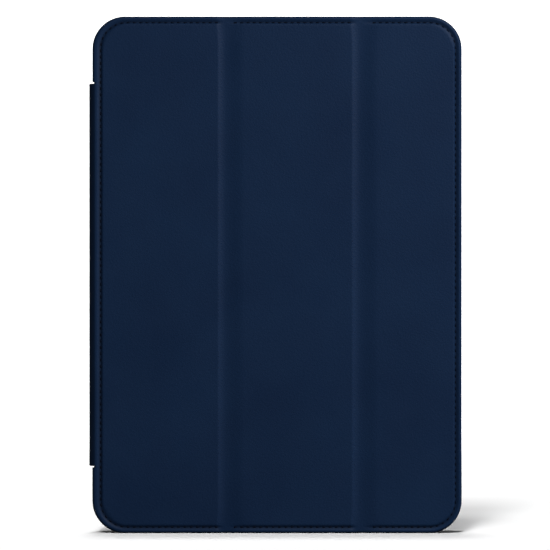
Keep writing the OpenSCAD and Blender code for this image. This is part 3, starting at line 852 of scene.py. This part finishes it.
def tray_lining():
    """The microfibre on the tray's floor, pressed down at its edge."""
    x0, z0, x1, z1 = (low("tray_lining")[0], low("tray_lining")[2],
                      high("tray_lining")[0], high("tray_lining")[2])
    outline, r = (x0, z0, x1, z1), TRAY_R
    top, glued = low("tray_lining")[1], high("tray_lining")[1]
    turn = [r * (1 - math.cos(math.radians(a))) for a in range(0, 91, 5)]
    xs = [x0 + t for t in turn] + [x1 - t for t in turn] + spread(x0 + r, x1 - r, 5 * MM)

    def face(x, z):
        return top + 0.25 * MM * (1 - smooth(0, 0.9 * MM, inside(x, z, outline, r)))

    piece = sheet_piece("tray_microfibre", merged(xs), face, lambda x, z: glued, LINING,
                        rows_of=lambda x: rows(x, outline, r))
    cut_window(piece, WINDOW_HALF - 0.2 * MM, WINDOW_R - 0.2 * MM)
    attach(piece, "back_cover")
    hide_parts("tray_lining")


# ---------- keys ----------

LEGENDS = {
    "keys_function_row": ["esc"] + [f"F{i}" for i in range(1, 13)] + ["del"],
    "keys_number_row": list("`1234567890-="), "key_backspace": ["back"], "key_tab": ["tab"],
    "keys_upper_row": list("QWERTYUIOP[]\\"), "key_caps_lock": ["caps"],
    "keys_home_row": list("ASDFGHJKL;'"), "key_enter": ["enter"], "key_left_shift": ["shift"],
    "keys_lower_row": list("ZXCVBNM,./"), "key_right_shift": ["shift"],
    "keys_left_modifiers": ["fn", "ctrl", "sys", "alt"], "key_space_bar": [""],
    "keys_right_modifiers": ["alt", "ctrl"], "keys_arrows": ["<", "^", "v", ">"]}
KEY_R = 1.6 * MM
INK_T = 0.06 * MM
INK_SINK = 0.02 * MM
LETTER_SIZE = 4.6 * MM
WORD_SIZE = 2.6 * MM


def islands(node):
    """The box in X and Z of each separate solid of a node, from the typist's left to right."""
    mesh = NODES[node].data
    group = {}

    def root(k):
        while group.setdefault(k, k) != k:
            k = group[k]
        return k

    spots = [tuple(round(c / MM, 3) for c in v.co) for v in mesh.vertices]
    for polygon in mesh.polygons:
        first, *others = (spots[i] for i in polygon.vertices)
        for other in others:
            group[root(other)] = root(first)
    members = {}
    for spot in spots:
        members.setdefault(root(spot), []).append(spot)
    boxes = [[f(p[axis] for p in some) * MM for f in (min, max) for axis in (0, 2)]
             for some in members.values()]
    return sorted(boxes, key=lambda b: (-round(b[1] + b[3], 4), b[0]))


def keycap(box, y0, y1, verts, faces):
    """A low keycap: upright walls, a round shoulder and a top that is very slightly dished."""
    x0, z0, x1, z1 = box
    cx, cz, half_w, half_h = (x0 + x1) / 2, (z0 + z1) / 2, (x1 - x0) / 2, (z1 - z0) / 2
    rings = ((0.15, y0), (0, y0 + 0.15 * MM), (0.06, y1 - 0.48 * MM), (0.14, y1 - 0.24 * MM),
             (0.30, y1 - 0.09 * MM), (0.55, y1 - 0.01 * MM), (0.80, y1), (1.8, y1 - 0.03 * MM),
             (3.0, y1 - 0.04 * MM))
    first = len(verts)
    n = 0
    for inset, y in rings:
        d = min(inset * MM, half_w - 0.4 * MM, half_h - 0.4 * MM)
        ring = round_square(cx, cz, half_w - d, half_h - d, max(KEY_R - d, 0.3 * MM), 5)
        n = len(ring)
        verts += [(x, y, z) for x, z in ring]
    for i in range(len(rings) - 1):
        a = first + i * n
        faces += [(a + k, a + n + k, a + n + (k + 1) % n, a + (k + 1) % n) for k in range(n)]
    faces.append(tuple(first + k for k in range(n)))
    faces.append(tuple(first + (len(rings) - 1) * n + k for k in reversed(range(n))))


def letters(text, size):
    """A legend as a thin closed solid about its own middle: its points and its faces."""
    data = bpy.data.curves.new("legend", "FONT")
    data.body, data.size, data.align_x, data.align_y = text, size, "CENTER", "CENTER"
    data.resolution_u = 3
    data.extrude = INK_T / 2
    holder = bpy.data.objects.new("legend", data)
    flat = bmesh.new()
    flat.from_mesh(holder.to_mesh())
    bmesh.ops.remove_doubles(flat, verts=flat.verts, dist=0.001 * MM)
    points = [tuple(v.co) for v in flat.verts]
    polygons = [tuple(v.index for v in f.verts) for f in flat.faces]
    flat.free()
    holder.to_mesh_clear()
    bpy.data.objects.remove(holder)
    return points, polygons


def keys():
    """The keycaps of each row or key, with their legends, on the body that goes down with them."""
    for node, legends in LEGENDS.items():
        y0, y1 = low(node)[1], high(node)[1]
        verts, faces, ink = [], [], []
        for box, legend in zip(islands(node), legends):
            keycap(box, y0, y1, verts, faces)
            if not legend:
                continue
            size = LETTER_SIZE if len(legend) == 1 else WORD_SIZE
            cx, cz = (box[0] + box[2]) / 2, (box[1] + box[3]) / 2
            points, polygons = letters(legend, size)
            first = len(verts)
            verts += [(cx - v, y1 - INK_SINK + w, cz - u) for u, v, w in points]
            ink += [tuple(first + k for k in p) for p in polygons]
        piece = make_mesh(f"{node}_caps", verts, faces + ink, KEYCAP, 50)
        piece.data.materials.append(INK)
        for polygon in piece.data.polygons[len(faces):]:
            polygon.material_index = 1
        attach(piece, f"pressed_{node}")
        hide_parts(node)


# ---------- the scene ----------

bpy.context.scene.view_settings.view_transform = "Standard"
add_camera()
add_world(0.10)
add_lights(add_floor(floor_paint("floor_paint")))

dress_cad_nodes()
front_cover()
back_cover()
stitching()
spine()
tray_lining()
keys()
